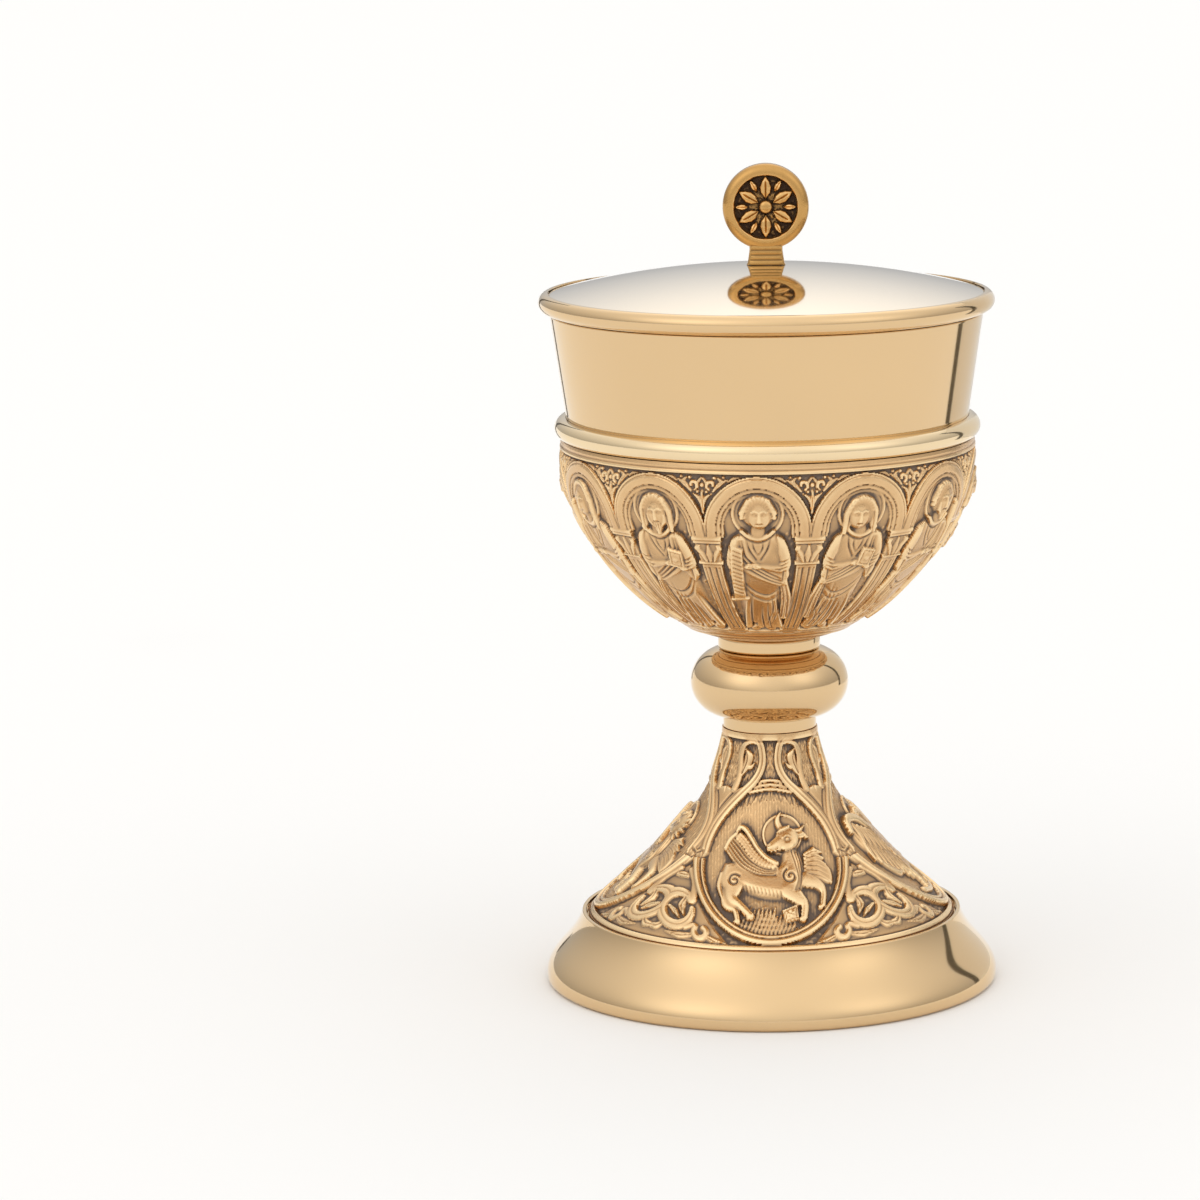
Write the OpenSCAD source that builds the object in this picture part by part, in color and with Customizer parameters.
// Ciborium: a footed, lidded vessel of gilt brass, standing on z = 0 with its axis on Z.
// The front, where the foot's first medallion looks out, faces -Y.

/* [Base ring] */
// Widest diameter of the base ring
base_d = 130.4; // [122:0.2:146]
// Height of the base ring's lip above the table
base_h = 20.5; // [17:0.5:26]
// Radius of the rounded lower edge
base_edge_r = 1.8; // [1:0.1:2.4]
// Wall of the base ring
base_wall = 1.8; // [1.4:0.1:2.4]
// Straight height above the rounded edge before the ring curves in
base_side_h = 0.7; // [0.3:0.1:1.5]
// How far the lower bulge of the ring reaches up
base_swell = 5.9; // [4:0.1:8]
// How far the hollow under the lip reaches down
base_cove = 8.6; // [6:0.1:10]
// How far that hollow leans outward
base_cove_lean = 2.4; // [1:0.1:3.5]
// Width of the lip's top
lip_w = 1.1; // [0.8:0.1:1.6]
// Height of the lip above the seat of the foot
lip_depth = 2.3; // [1.6:0.1:3]
// Gap between the lip and the foot
lip_groove = 0.6; // [0.3:0.1:1]
// Width of the seat that carries the foot
seat_w = 6.4; // [5:0.2:9]
// Thickness of the seat
seat_t = 2; // [1.5:0.1:3]

/* [Foot] */
// Diameter of the foot's lower edge
foot_d = 106; // [100:0.5:112]
// Height of the foot from its seat to its top
foot_h = 55.8; // [50:0.5:62]
// Height of the foot's plain lower edge
foot_edge_h = 2; // [1:0.1:3]
// Diameter of the foot's top
foot_top_d = 27.4; // [26:0.2:31]
// Inward reach of the spreading skirt
foot_spread = 14.8; // [11:0.2:17]
// Upward reach of the spreading skirt
foot_spread_h = 14.4; // [11:0.2:17]
// Downward reach of the steep upper part
foot_rise = 24.4; // [20:0.2:28]
// Outward lean of the steep upper part
foot_rise_lean = 3; // [2:0.2:5]
// Wall of the foot under its ornament
foot_wall = 2; // [1.4:0.1:2.6]
// Thickness of the foot's top deck
foot_deck_t = 3; // [2:0.2:4]
// Height of the ornament on the foot
foot_relief = 1.2; // [0.8:0.1:1.6]
// Width of the plain band along the lower edge
foot_band_w = 3; // [2:0.2:4]
// Height of the plain ring at the foot's top
foot_ring_h = 1.5; // [1:0.1:2.5]
// Number of medallions round the foot
medallions = 4; // [3:1:4]
// Radius of a medallion seen from its front
medallion_r = 20.8; // [17:0.2:22]
// Height of the medallions' centre above the foot's seat
medallion_h = 14.3; // [12:0.1:17]
// Upward tilt of the direction in which a medallion is struck
medallion_tilt = 13; // [5:1:20]
// Width of a medallion's rim
medallion_rim_w = 1.5; // [1:0.1:2.2]
// Height of a medallion's rim above the ornament
medallion_rim_h = 0.7; // [0.3:0.1:1]
// Height of the emblems in the medallions above the ornament
emblem_h = 0.4; // [0.2:0.1:0.7]
// Gap between the ornament of neighbouring medallions as an angle
panel_gap_angle = 2; // [1:0.5:4]
// Width of the straps beside a medallion
strap_w = 2.2; // [1.6:0.1:2.8]
// How far straps and scrolls stay short of the ornament's full height
strap_short = 0.15; // [0:0.05:0.5]
// Diameter of the scrolls between the medallions
scroll_d = 9.8; // [8:0.2:10.4]
// Angle of the scrolls below a medallion's middle
scroll_angle = 31; // [28:1:36]
// How far the scrolls reach over a medallion's rim
scroll_bite = 0.8; // [0.5:0.1:1.2]
// Width of a scroll's roll
scroll_w = 2.2; // [1.6:0.1:2.8]

/* [Stem] */
// Diameter of the collar under the knot
lower_collar_d = 26.8; // [25:0.2:30]
// Height of the collar under the knot
lower_collar_h = 3.6; // [2.5:0.1:6]
// Diameter of the knot
knot_d = 45.4; // [40:0.2:52]
// Height of the knot
knot_h = 19.4; // [16:0.2:24]
// Wall of the hollow knot
knot_wall = 1.6; // [1.2:0.1:2.2]
// Diameter of the collar over the knot
upper_collar_d = 29.4; // [27:0.2:31]
// Height of the collar over the knot
upper_collar_h = 4; // [3:0.1:6]
// Outside diameter of the spacer tube in the knot
stem_tube_d = 10.4; // [9:0.2:14]

/* [Bowl] */
// Diameter of the bowl at its top
bowl_d = 117.8; // [112:0.2:122]
// Height of the bowl
bowl_h = 57.5; // [50:0.5:64]
// Diameter of the bowl at its bottom
bowl_neck_d = 29; // [28:0.2:33]
// Outward reach of the bowl's floor
bowl_floor = 21.8; // [18:0.2:25]
// Rise of the bowl's floor over that reach
bowl_floor_rise = 3.5; // [2:0.1:5]
// Downward reach of the bowl's side
bowl_side = 21; // [16:0.2:25]
// Outward lean of the bowl's side
bowl_side_lean = 5.7; // [3:0.1:7]
// Height of the ornament on the bowl
bowl_relief = 1.5; // [1:0.1:1.8]
// Wall of the bowl under its ornament
bowl_wall = 1.4; // [1.1:0.1:1.8]
// Height of the plain moulding at the bowl's top
bowl_band_h = 2.4; // [1.6:0.1:3]
// Number of arches round the bowl
bays = 12; // [8:1:14]
// Turn of the arcade from the front
bay_turn = -3; // [-15:1:15]
// Height of the capitals' tops above the bowl's bottom
spring_h = 36; // [33:0.2:40]
// Height of a capital
capital_h = 6.8; // [5:0.2:9]
// Height of the columns' feet above the bowl's bottom
column_foot_h = 5.5; // [4:0.2:8]
// Width of a column as an angle
column_angle = 5.2; // [4:0.2:6]
// Width of a capital as an angle
capital_angle = 6.8; // [5.5:0.2:8]
// Height of the arches' centre over their capitals
arch_stilt = 2.9; // [1:0.1:4]
// Gap between neighbouring arches
arch_gap = 0.5; // [0.3:0.1:1]
// Width of an arch's moulding
arch_w = 4.6; // [3:0.2:6]
// Width of a standing figure as an angle
figure_angle = 15; // [9:0.5:16]
// Height of a figure's shoulders above the bowl's bottom
shoulder_h = 37; // [34:0.2:41]
// Height of a figure's feet above the bowl's bottom
figure_foot_h = 8; // [6:0.2:11]
// Diameter of a figure's head
head_d = 8.4; // [6:0.1:9.4]
// Height of the heads' centre above the shoulders
head_rise = 6.4; // [5:0.1:7]

/* [Bowl rim] */
// Height of the polished ring on the bowl
rim_h = 6; // [5:0.1:8]
// Radius of the rim's rounded outside
rim_bulge_r = 3; // [2.5:0.1:3.6]
// Overhang of the rim beyond the bowl
rim_overhang = 1.9; // [1.2:0.1:2.6]

/* [Cup] */
// How far the cup lies inside the bowl's edge where it leaves the rim
cup_inset = 1.5; // [1:0.1:3]
// How far the cup's lip flares out beyond that place
cup_flare = 4.3; // [1:0.1:8]
// Height of the cup's plain band above the rim
cup_band_h = 29.5; // [22:0.5:40]
// Wall of the cup
cup_wall = 1.2; // [0.9:0.1:1.6]
// Gap between the cup and the bowl round it
cup_gap = 0.4; // [0.2:0.05:0.8]
// Diameter of the threaded boss under the cup
boss_d = 12; // [10:0.2:14]

/* [Lid] */
// Overhang of the lid's bead beyond the cup's lip
bead_overhang = 3.2; // [2.6:0.1:4]
// Radius of the lid's bead
bead_r = 2.7; // [2.4:0.1:3.2]
// Height of the bead's lowest edge above the lid's seat
bead_lift = 0.25; // [0.1:0.05:0.6]
// Rise of the lid's dome above its edge
dome_rise = 7.9; // [5:0.1:14]
// Wall of the lid's dome
dome_wall = 1.2; // [0.9:0.1:1.6]
// Depth of the rebate that holds the dome's edge
dome_rebate = 1.7; // [1.4:0.1:2.2]
// Depth of the skirt that locates the lid in the cup
skirt_h = 8; // [5:0.2:14]
// Wall of the skirt
skirt_wall = 1.1; // [0.8:0.1:1.5]
// Clearance of the skirt in the cup
skirt_clearance = 0.5; // [0.3:0.05:1]
// Clearance of the resting lid over the cup's lip
lid_clearance = 0.25; // [0.15:0.05:0.4]

/* [Finial] */
// Diameter of the finial's disc
finial_d = 24.4; // [20:0.2:30]
// Thickness of the finial's disc
finial_t = 7; // [6:0.2:9]
// Radius of the disc's rounded edge
finial_edge_r = 2.4; // [1.5:0.1:2.8]
// Width of the disc's raised rim
finial_rim_w = 2.9; // [2.2:0.1:3.6]
// Depth of the sunk ground on each face
finial_sink = 1.6; // [1:0.1:2]
// Number of long petals in the rosette on each face
petals = 6; // [4:1:6]
// Width of a long petal
petal_w = 3.4; // [2.4:0.1:3.6]
// Length of a short petal
short_petal_l = 3.8; // [2.5:0.1:4.2]
// Width of a short petal
short_petal_w = 1.9; // [1.2:0.1:2.2]
// Gap round the petals
petal_gap = 0.5; // [0.3:0.1:0.8]
// Radius of the rosette's boss
rosette_boss_r = 1.9; // [1.4:0.1:2.2]
// Height of the petals over the sunk ground
petal_h = 1.4; // [0.8:0.1:1.8]
// Width of the finial's neck under the disc
neck_w = 9.4; // [8:0.2:11]
// Width of the finial's neck at the lid
neck_foot_w = 11; // [9:0.2:13]
// Thickness of the finial's neck
neck_t = 6.4; // [6:0.1:8]
// Height of the neck from the lid to the disc's lower edge
neck_h = 4.2; // [3:0.1:7]

/* [Fasteners] */
// Diameter of the tie rod through the stem
rod_d = 6; // [5:0.5:7]
// Width across the flats of the nut
nut_af = 10; // [9:0.5:12]
// Thickness of the nut
nut_t = 5; // [4:0.2:6]
// Length of rod that stands out under the nut
rod_tail = 2.5; // [1:0.5:5]
// Depth of rod in the boss under the cup
rod_grip = 5; // [4:0.2:5.6]
// Diameter of the clamp disc under the foot's deck
clamp_d = 18; // [14:0.5:19]
// Thickness of the clamp disc
clamp_t = 1.6; // [1:0.1:2.5]
// Outside diameter of the split lock washer
lock_d = 11.6; // [10:0.2:13]
// Thickness of the split lock washer
lock_t = 1.5; // [1:0.1:2]
// Opening of the split lock washer as an angle
lock_split = 12; // [6:1:20]
// Diameter of the screw that holds the finial
screw_d = 4; // [3:0.5:4.5]
// Length of that screw under its head
screw_l = 8; // [6:0.5:8.5]
// Diameter of its head
screw_head_d = 7.6; // [6.5:0.2:9]
// Height of its head
screw_head_h = 2.6; // [2:0.1:3.4]
// Width of its slot
screw_slot_w = 1; // [0.8:0.1:1.4]
// Diameter of its washer
screw_washer_d = 10; // [9.4:0.2:13]
// Thickness of its washer
screw_washer_t = 1; // [0.8:0.1:1.6]

/* [Fits] */
// Radial clearance of the rod in the pieces it passes through
rod_clearance = 0.25; // [0.1:0.05:0.5]
// Radial clearance of a thread in its hole
thread_clearance = 0.05; // [0.02:0.01:0.1]
// Room past the end of a screw in its hole
screw_end_gap = 0.5; // [0.3:0.1:0.8]
// Gap left for solder between curved faces
solder_gap = 0.1; // [0.05:0.05:0.2]

/* [Hidden] */
$fn = 96;

// Straight pieces that stand for one curve
curve_steps = 24;
// Straight pieces along one strip of ornament
strip_steps = 8;
// Straight pieces along the foot's struck ornament
struck_steps = 12;
// How far joined forms sink into each other
sink = 0.4;
// How far each kind of ornament stays short of the bowl's full relief
shaft_short = 0.6;
capital_short = 0.2;
arch_short = 0.4;
robe_short = 0.1;
head_short = -0.3;
// Azimuth of the front, counted from +X
front = -90;

// Heights of the stack, from the table up
seat_z = base_h - lip_depth;
foot_top_z = seat_z + foot_h;
knot_z = foot_top_z + lower_collar_h;
upper_collar_z = knot_z + knot_h;
bowl_z = upper_collar_z + upper_collar_h;
bowl_top_z = bowl_z + bowl_h;
rim_top_z = bowl_top_z + rim_h;
lip_z = rim_top_z + cup_band_h;
lid_z = lip_z + lid_clearance;
bead_z = lid_z + bead_lift + bead_r;
dome_edge_z = bead_z + bead_r - dome_rebate + dome_wall;
apex_z = dome_edge_z + dome_rise;
finial_z = apex_z + solder_gap / 2;
disc_z = finial_z + neck_h + finial_d / 2;

// Heights of the clamping parts, from the foot's deck down
clamp_z = foot_top_z - foot_deck_t - clamp_t;
lock_z = clamp_z - lock_t;
nut_z = lock_z - nut_t;
rod_z = nut_z - rod_tail;

// Radii that several pieces share
rod_bore_r = rod_d / 2 + rod_clearance;
foot_r = foot_d / 2;
lip_in_r = foot_r + lip_groove;
lip_out_r = lip_in_r + lip_w;
seat_in_r = foot_r - seat_w;
boss_bore_r = boss_d / 2 + solder_gap;
cup_waist_r = bowl_d / 2 - cup_inset;
cup_lip_r = cup_waist_r + cup_flare;
cup_taper = cup_flare / cup_band_h;
skirt_z = lid_z - skirt_h;
skirt_r = cup_lip_r - cup_wall - cup_taper * (lip_z - skirt_z) - skirt_clearance;
bead_c = cup_lip_r + bead_overhang - bead_r;
dome_edge_r = bead_c - dome_rebate / 3;
dome_r = (dome_edge_r * dome_edge_r + dome_rise * dome_rise) / (2 * dome_rise);
washer_top_z = apex_z - dome_wall - dome_sag(screw_washer_d / 2) - solder_gap / 2;
screw_z = washer_top_z - screw_washer_t;

// Curves as four control points, each [radius, height]
base_curve = [[base_d / 2, base_edge_r + base_side_h], [base_d / 2, base_edge_r + base_side_h + base_swell],
    [lip_out_r + base_cove_lean, base_h - base_cove], [lip_out_r, base_h]];
foot_curve = [[foot_r, seat_z + foot_edge_h],
    [foot_r - foot_spread, seat_z + foot_edge_h + foot_spread_h],
    [foot_top_d / 2 + foot_rise_lean, foot_top_z - foot_rise], [foot_top_d / 2, foot_top_z]];
bowl_curve = [[bowl_neck_d / 2, bowl_z], [bowl_neck_d / 2 + bowl_floor, bowl_z + bowl_floor_rise],
    [bowl_d / 2 + bowl_side_lean, bowl_top_z - bowl_side], [bowl_d / 2, bowl_top_z]];

// A scroll's centre beside a medallion
scroll_c = (medallion_r + scroll_d / 2 - scroll_bite) * [cos(scroll_angle), -sin(scroll_angle)];
// Radius of an arch, which fills its bay at the capitals
spring_r = at(bowl_curve, at_height(bowl_curve, bowl_z + spring_h))[0] - bowl_relief - sink;
arch_r = spring_r * sin(180 / bays) - arch_gap / 2;

// The foot's ornament beside a medallion, as shares of the medallion's radius from its centre
strap_path = [[0.21, 1.64], [0.19, 1.49], [0.24, 1.3], [0.38, 1.14], [0.58, 0.93], [0.71, 0.72]];
shoulder = [[0.55, 1.08], [0.66, 1.05], [0.8, 0.77], [0.94, 0.49], [0.99, 0.32], [0.92, 0.29], [0.77, 0.58],
    [0.585, 0.765]];
// The emblems' main forms, in the same shares: a winged beast on four legs, an eagle and an angel
beast = [[[-0.63, -0.11], [-0.44, 0.01], [-0.14, -0.06], [0.13, -0.04], [0.19, 0.19], [0.24, 0.38],
        [0.43, 0.37], [0.57, 0.1], [0.53, -0.23], [0.38, -0.4], [0.1, -0.43], [-0.24, -0.41], [-0.55, -0.38]],
    [[0.15, -0.03], [-0.03, 0.25], [-0.22, 0.49], [-0.39, 0.59], [-0.53, 0.49], [-0.64, 0.28], [-0.44, 0.04],
        [-0.11, -0.17]],
    [[-0.61, -0.31], [-0.39, -0.36], [-0.39, -0.52], [-0.24, -0.7], [-0.34, -0.74], [-0.54, -0.54]],
    [[0.25, -0.36], [0.4, -0.34], [0.56, -0.45], [0.54, -0.74], [0.43, -0.74], [0.43, -0.51]],
    [[0.5, -0.13], [0.69, -0.16], [0.81, -0.29], [0.8, -0.52], [0.71, -0.52], [0.68, -0.33], [0.5, -0.29]]];
ox_head = [[0.39, 0.47], [0.27, 0.57], [0.13, 0.49], [-0.07, 0.32], [-0.06, 0.19], [0.06, 0.17], [0.25, 0.25]];
lion_head = [[0.45, 0.38], [0.34, 0.58], [0.13, 0.58], [-0.06, 0.34], [-0.06, 0.19], [0.06, 0.14],
    [0.34, 0.13]];
eagle_wing = [[0.12, 0.22], [0.34, 0.51], [0.57, 0.57], [0.74, 0.31], [0.79, -0.1], [0.61, -0.45],
    [0.29, -0.55], [0.17, -0.17]];
eagle = [eagle_wing, mirrored(eagle_wing, -1),
    [[-0.14, 0.34], [0.14, 0.34], [0.21, 0.02], [0.13, -0.38], [0.19, -0.79], [-0.19, -0.79], [-0.13, -0.38],
        [-0.21, 0.02]],
    [[0.12, 0.33], [0.05, 0.58], [-0.12, 0.63], [-0.3, 0.44], [-0.13, 0.4]]];
angel_wing = [[0.16, 0.24], [0.38, 0.53], [0.59, 0.46], [0.67, 0.1], [0.65, -0.41], [0.34, -0.44]];
angel = [angel_wing, mirrored(angel_wing, -1),
    [[-0.14, 0.37], [0.14, 0.37], [0.23, 0.24], [0.21, -0.18], [0.16, -0.71], [-0.16, -0.71], [-0.21, -0.18],
        [-0.23, 0.24]],
    [[-0.13, 0.46], [-0.08, 0.3], [0.08, 0.3], [0.13, 0.46], [0.15, 0.62], [0.09, 0.77], [-0.09, 0.77],
        [-0.15, 0.62]]];
// The emblems from the front round to the right
emblems = [concat(beast, [ox_head]), eagle, angel, concat(beast, [lion_head])];

// Points on one side of the middle line, or mirrored to the other
function mirrored(points, side) = [for (p = points) [side * p[0], p[1]]];
// The outline of a strip of width w along points
function strip(points, w) = concat([for (i = [0:len(points) - 1]) points[i] + w / 2 * across(points, i)],
    [for (i = [len(points) - 1:-1:0]) points[i] - w / 2 * across(points, i)]);
function across(points, i) = left(points[min(i + 1, len(points) - 1)] - points[max(i - 1, 0)]);
// How far the dome's surface has dropped at a radius
function dome_sag(r) = dome_r - sqrt(dome_r * dome_r - r * r);
// A point on a curve, and the unit normal on its left
function at(c, t) = pow(1 - t, 3) * c[0] + 3 * pow(1 - t, 2) * t * c[1] + 3 * (1 - t) * t * t * c[2]
    + pow(t, 3) * c[3];
function slope(c, t) = pow(1 - t, 2) * (c[1] - c[0]) + 2 * (1 - t) * t * (c[2] - c[1])
    + t * t * (c[3] - c[2]);
function left(v) = [-v[1], v[0]] / norm(v);
// Points of a curve moved sideways by d, to the left when d is positive
function path(c, d = 0, t0 = 0, t1 = 1, n = curve_steps) =
    [for (i = [0:n]) let (t = t0 + (t1 - t0) * i / n) at(c, t) + d * left(slope(c, t))];
function back(list) = [for (i = [len(list) - 1:-1:0]) list[i]];
// Points of an arc from angle a0 to a1
function arc(c, r, a0, a1, n = 12) = [for (i = [0:n]) let (a = a0 + (a1 - a0) * i / n)
    [c[0] + r * cos(a), c[1] + r * sin(a)]];
// The curve's parameter at a height, found by halving
function at_height(c, z, lo = 0, hi = 1, n = 20) = n == 0 ? (lo + hi) / 2 :
    at(c, (lo + hi) / 2)[1] < z ? at_height(c, z, (lo + hi) / 2, hi, n - 1)
    : at_height(c, z, lo, (lo + hi) / 2, n - 1);

// A profile turned right round the axis
module turned(points) {
    rotate_extrude() polygon(points);
}

// A profile turned through an angle centred on an azimuth from the front
module sector(points, azimuth, angle) {
    rotate([0, 0, front + azimuth - angle / 2]) rotate_extrude(angle = angle) polygon(points);
}

// A flat ring or tube
module ring(outer_r, inner_r, z, h) {
    translate([0, 0, z]) difference() {
        cylinder(r = outer_r, h = h);
        translate([0, 0, -1]) cylinder(r = inner_r, h = h + 2);
    }
}

// A band that follows a curve between two depths, from parameter t0 to t1
function band(c, outer, inner, t0, t1, n = curve_steps) =
    concat(path(c, outer, t0, t1, n), back(path(c, inner, t0, t1, n)));

module base_ring() {
    color("#dcb98c")
    turned(concat(
        [[base_d / 2 - base_edge_r - base_wall, 0]],
        arc([base_d / 2 - base_edge_r, base_edge_r], base_edge_r, -90, 0),
        path(base_curve),
        [[lip_in_r, base_h], [lip_in_r, seat_z], [seat_in_r, seat_z], [seat_in_r, seat_z - seat_t]],
        back(path(base_curve, base_wall, 0, at_height(base_curve, seat_z - seat_t)))));
}

// The foot's wall, from its seat to its deck, with the hollow under it
module foot_shell() {
    inner = foot_relief + foot_wall;
    deck_z = foot_top_z - foot_deck_t;
    deck_t = at_height(foot_curve, deck_z);
    band_t = foot_band_w / norm(3 * slope(foot_curve, 0));
    ring_t = at_height(foot_curve, foot_top_z - foot_ring_h);
    turned(concat([[seat_in_r, seat_z], [foot_r, seat_z]],
        path(foot_curve, 0, 0, band_t), path(foot_curve, foot_relief, band_t, ring_t),
        path(foot_curve, 0, ring_t, 1),
        [[rod_bore_r, foot_top_z], [rod_bore_r, deck_z], [path(foot_curve, inner, deck_t)[0][0], deck_z]],
        back(path(foot_curve, inner, 0.04, deck_t))));
}

// A medallion's raised rim, struck along a tilted line from its front
module medallion_rim(azimuth) {
    intersection() {
        turned(band(foot_curve, -medallion_rim_h, foot_relief + sink, 0.02, 0.96));
        rotate([0, 0, azimuth]) translate([0, 0, seat_z + medallion_h]) rotate([90 - medallion_tilt, 0, 0])
        difference() {
            cylinder(r = medallion_r, h = foot_d);
            translate([0, 0, -1]) cylinder(r = medallion_r - medallion_rim_w, h = foot_d + 2);
        }
    }
}

// Flat forms struck into the foot along a medallion's line, up to a depth under the full ornament
module struck(azimuth, depth) {
    intersection() {
        sector(band(foot_curve, depth, foot_relief + sink, 0.04, 0.95, struck_steps), azimuth,
            360 / medallions - panel_gap_angle);
        rotate([0, 0, azimuth]) translate([0, 0, seat_z + medallion_h]) rotate([90 - medallion_tilt, 0, 0])
        linear_extrude(foot_d) children();
    }
}

// The straps, shoulders and scrolls on both sides of a medallion
module strapwork(azimuth) {
    struck(azimuth, strap_short) for (side = [-1, 1]) {
        polygon(strip(medallion_r * mirrored(strap_path, side), strap_w));
        polygon(medallion_r * mirrored(shoulder, side));
        translate([side * scroll_c[0], scroll_c[1]]) difference() {
            circle(d = scroll_d);
            circle(d = scroll_d - 2 * scroll_w);
        }
    }
}

// A medallion's emblem
module emblem(azimuth, forms) {
    struck(azimuth, -emblem_h) for (f = forms) polygon(medallion_r * f);
}

module foot_cone() {
    color("#c4a074")
    union() {
        foot_shell();
        for (i = [0:medallions - 1]) {
            medallion_rim(i * 360 / medallions);
            strapwork(i * 360 / medallions);
            emblem(i * 360 / medallions, emblems[i]);
        }
    }
}

module clamp_disc() {
    color("#b08d57") ring(clamp_d / 2, rod_bore_r, clamp_z, clamp_t);
}

module lock_washer() {
    color("#9a9a96")
    sector([[rod_bore_r, lock_z], [lock_d / 2, lock_z], [lock_d / 2, lock_z + lock_t],
        [rod_bore_r, lock_z + lock_t]], 0, 360 - lock_split);
}

module stem_nut() {
    color("#b08d57")
    translate([0, 0, nut_z]) difference() {
        cylinder(d = nut_af / cos(30), h = nut_t, $fn = 6);
        translate([0, 0, -1]) cylinder(r = rod_d / 2 + thread_clearance, h = nut_t + 2);
    }
}

// The cup's outside below its band follows the bowl at this depth, between these parameters
cup_offset = bowl_relief + bowl_wall + cup_gap;
cup_t0 = 0.06;
cup_t1 = 0.92;
cup_shoulder = path(bowl_curve, cup_offset, cup_t1, 1, 1)[0];
// The cup's outside radius between its shoulder and the top of the rim
function cup_r(z) = cup_shoulder[0] + (cup_waist_r - cup_shoulder[0]) * (z - cup_shoulder[1])
    / (rim_top_z - cup_shoulder[1]);
// Where the cup's underside rests on the bowl's floor
floor_z = at(bowl_curve, 0)[1] + (bowl_relief + bowl_wall) * left(slope(bowl_curve, 0))[1];
boss_z = upper_collar_z + 1;

module tie_rod() {
    color("#9a9a96") translate([0, 0, rod_z]) cylinder(d = rod_d, h = boss_z + rod_grip - rod_z);
}

module lower_collar() {
    color("#dcb98c") ring(lower_collar_d / 2, rod_bore_r, foot_top_z, lower_collar_h);
}

module knot() {
    mid_z = knot_z + knot_h / 2;
    core_r = knot_d / 2 - knot_h / 2;
    inner_r = knot_h / 2 - knot_wall;
    color("#e4c697")
    turned(concat([[rod_bore_r, knot_z]], arc([core_r, mid_z], knot_h / 2, -90, 90, 24),
        [[rod_bore_r, knot_z + knot_h], [rod_bore_r, knot_z + knot_h - knot_wall]],
        arc([core_r, mid_z], inner_r, 90, -90, 24), [[rod_bore_r, knot_z + knot_wall]]));
}

module stem_tube() {
    color("#b08d57") ring(stem_tube_d / 2, rod_bore_r, knot_z + knot_wall, knot_h - 2 * knot_wall);
}

module upper_collar() {
    bulge = upper_collar_h / 2;
    color("#dcb98c")
    turned(concat([[boss_bore_r, upper_collar_z]],
        arc([upper_collar_d / 2 - bulge, upper_collar_z + bulge], bulge, -90, 90),
        [[boss_bore_r, bowl_z]]));
}

// The bowl's wall, with plain mouldings at its top and bottom and a hole for the boss
module bowl_shell() {
    inner = bowl_relief + bowl_wall;
    band_t = at_height(bowl_curve, bowl_top_z - bowl_band_h);
    foot_t = at_height(bowl_curve, bowl_z + column_foot_h);
    turned(concat([[boss_bore_r, bowl_z]], path(bowl_curve, 0, 0, foot_t),
        path(bowl_curve, bowl_relief, foot_t, band_t), path(bowl_curve, 0, band_t, 1),
        [[cup_r(bowl_top_z) + cup_gap, bowl_top_z]], back(path(bowl_curve, inner, 0, cup_t1)),
        [[boss_bore_r, floor_z]]));
}

// A profile on the bowl from one height above its bottom to another, short of the full relief
function bowl_strip(h0, h1, short) = band(bowl_curve, short, bowl_relief + sink,
    at_height(bowl_curve, bowl_z + h0), at_height(bowl_curve, bowl_z + h1), strip_steps);

module column(azimuth) {
    sector(bowl_strip(column_foot_h - sink, spring_h - capital_h + sink, shaft_short), azimuth, column_angle);
    sector(bowl_strip(spring_h - capital_h, spring_h, capital_short), azimuth, capital_angle);
}

// A round arch over two neighbouring capitals
module arch(azimuth) {
    intersection() {
        sector(bowl_strip(spring_h - sink, bowl_h - bowl_band_h / 2, arch_short), azimuth, 360 / bays);
        rotate([0, 0, azimuth]) translate([0, 0, bowl_z + spring_h + arch_stilt]) rotate([90, 0, 0])
        difference() {
            cylinder(r = arch_r, h = bowl_d);
            translate([0, 0, -1]) cylinder(r = arch_r - arch_w, h = bowl_d + 2);
        }
    }
}

// A robed figure with its rounded head, standing in an arch
module figure(azimuth) {
    head_h = shoulder_h + head_rise;
    head_t = at_height(bowl_curve, bowl_z + head_h);
    head = at(bowl_curve, head_t) + bowl_relief * left(slope(bowl_curve, head_t));
    sector(bowl_strip(figure_foot_h, shoulder_h, robe_short), azimuth, figure_angle);
    intersection() {
        rotate([0, 0, front + azimuth]) translate([head[0], 0, head[1]]) sphere(d = head_d);
        sector(bowl_strip(head_h - head_d, head_h + head_d, head_short), azimuth, figure_angle);
    }
}

module bowl_basket() {
    pitch = 360 / bays;
    color("#c4a074")
    union() {
        bowl_shell();
        for (i = [0:bays - 1]) {
            column(bay_turn + (i + 0.5) * pitch);
            arch(bay_turn + i * pitch);
            figure(bay_turn + i * pitch);
        }
    }
}

module basket_rim() {
    bulge_c = bowl_d / 2 + rim_overhang - rim_bulge_r;
    color("#e4c697")
    turned(concat([[cup_r(bowl_top_z) + cup_gap, bowl_top_z]],
        arc([bulge_c, bowl_top_z + rim_h / 2], rim_bulge_r, -90, 90),
        [[cup_waist_r + cup_gap, rim_top_z]]));
}

module cup() {
    color("#e8cb9c")
    turned(concat([[0, floor_z], [bowl_neck_d / 2 - bowl_wall, floor_z]],
        path(bowl_curve, cup_offset, cup_t0, cup_t1),
        [[cup_waist_r, rim_top_z], [cup_lip_r, lip_z], [cup_lip_r - cup_wall, lip_z],
        [cup_waist_r - cup_wall, rim_top_z]],
        back(path(bowl_curve, cup_offset + cup_wall, cup_t0, cup_t1)),
        [[0, floor_z + cup_gap + cup_wall]]));
}

module cup_boss() {
    color("#b08d57")
    difference() {
        translate([0, 0, boss_z]) cylinder(d = boss_d, h = floor_z - boss_z);
        translate([0, 0, boss_z - 1])
        cylinder(r = rod_d / 2 + thread_clearance, h = rod_grip + screw_end_gap + 1);
    }
}

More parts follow.
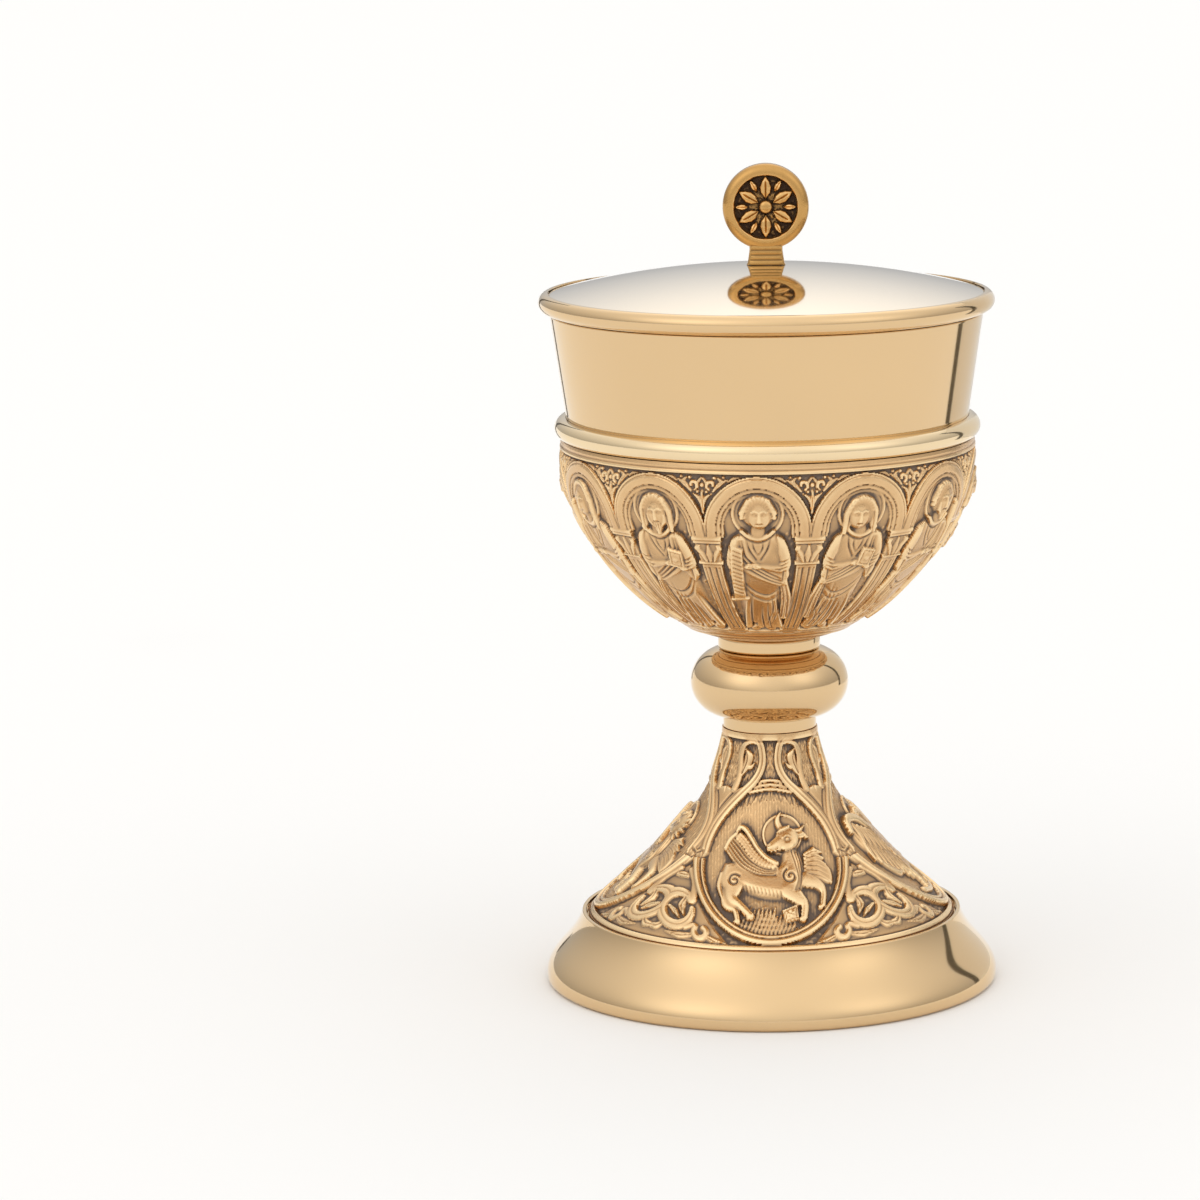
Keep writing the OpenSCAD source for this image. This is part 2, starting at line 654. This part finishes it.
module lid_dome() {
    bore_r = screw_d / 2 + rod_clearance;
    color("#e8dcc8")
    turned(concat(
        [for (i = [0:curve_steps]) let (r = bore_r + (dome_edge_r - bore_r) * i / curve_steps)
            [r, apex_z - dome_sag(r)]],
        [for (i = [curve_steps:-1:0]) let (r = bore_r + (dome_edge_r - bore_r) * i / curve_steps)
            [r, apex_z - dome_sag(r) - dome_wall]]));
}

module lid_rim() {
    in_r = skirt_r + solder_gap;
    ledge_z = dome_edge_z - dome_wall;
    color("#e4c697")
    turned(concat([[in_r, lid_z], [bead_c - bead_lift, lid_z]], arc([bead_c, bead_z], bead_r, -90, 90),
        [[dome_edge_r + solder_gap, bead_z + bead_r], [dome_edge_r + solder_gap, ledge_z], [in_r, ledge_z]]));
}

module lid_skirt() {
    top_z = apex_z - dome_sag(skirt_r) - dome_wall - solder_gap;
    color("#dcb98c") ring(skirt_r, skirt_r - skirt_wall, skirt_z, top_z - skirt_z);
}

// A form on one face of the finial, from the sunk ground up
module raised(depth) {
    rotate([90, 0, 0]) translate([0, 0, finial_t / 2 - finial_sink - sink]) linear_extrude(depth + sink)
    children();
}

// A pointed petal between two distances from the centre, as the overlap of two circles
module petal(start, end, w) {
    length = end - start;
    bow_r = (length * length + w * w) / (4 * w);
    translate([0, (start + end) / 2]) intersection_for (side = [-1, 1])
    translate([side * (bow_r - w / 2), 0]) circle(r = bow_r);
}

// A rosette of long petals round a boss, with short petals between them
module rosette() {
    field_r = finial_d / 2 - finial_rim_w;
    for (i = [0:petals - 1]) rotate(i * 360 / petals) {
        petal(rosette_boss_r + petal_gap, field_r - petal_gap, petal_w);
        rotate(180 / petals) petal(field_r - petal_gap - short_petal_l, field_r - petal_gap, short_petal_w);
    }
    circle(r = rosette_boss_r);
}

// The finial's disc, sunk on both faces
module finial_disc() {
    edge_r = finial_d / 2 - finial_edge_r;
    edge_h = finial_t / 2 - finial_edge_r;
    difference() {
        rotate([90, 0, 0]) rotate_extrude()
        polygon(concat([[0, -finial_t / 2]], arc([edge_r, -edge_h], finial_edge_r, -90, 0),
            arc([edge_r, edge_h], finial_edge_r, 0, 90), [[0, finial_t / 2]]));
        for (face = [0, 180]) rotate([90, 0, face]) translate([0, 0, finial_t / 2 - finial_sink])
        cylinder(r = finial_d / 2 - finial_rim_w, h = finial_t);
    }
}

// The finial's neck, spreading towards the lid
module finial_neck() {
    foot = -finial_d / 2 - neck_h;
    top = finial_rim_w - finial_d / 2;
    translate([0, neck_t / 2, 0]) rotate([90, 0, 0]) linear_extrude(neck_t)
    polygon([[-neck_foot_w / 2, foot], [neck_foot_w / 2, foot], [neck_w / 2, -finial_d / 2],
        [neck_w / 2, top], [-neck_w / 2, top], [-neck_w / 2, -finial_d / 2]]);
}

module finial() {
    color("#c79758")
    difference() {
        translate([0, 0, disc_z]) {
            finial_disc();
            for (face = [0, 180]) rotate([0, 0, face]) raised(petal_h) rosette();
            finial_neck();
        }
        translate([0, 0, finial_z - 1])
        cylinder(r = screw_d / 2 + thread_clearance, h = screw_z + screw_l + screw_end_gap - finial_z + 1);
    }
}

module finial_washer() {
    color("#9a9a96")
    ring(screw_washer_d / 2, screw_d / 2 + rod_clearance, screw_z, screw_washer_t);
}

module finial_screw() {
    color("#9a9a96")
    translate([0, 0, screw_z]) difference() {
        union() {
            cylinder(d = screw_d, h = screw_l);
            translate([0, 0, -screw_head_h]) cylinder(d = screw_head_d, h = screw_head_h);
        }
        translate([-screw_head_d, -screw_slot_w / 2, -screw_head_h - 1])
        cube([2 * screw_head_d, screw_slot_w, 1 + screw_head_h / 2]);
    }
}

base_ring();
foot_cone();
clamp_disc();
lock_washer();
stem_nut();
tie_rod();
lower_collar();
knot();
stem_tube();
upper_collar();
bowl_basket();
basket_rim();
cup();
cup_boss();
lid_dome();
lid_rim();
lid_skirt();
finial();
finial_washer();
finial_screw();
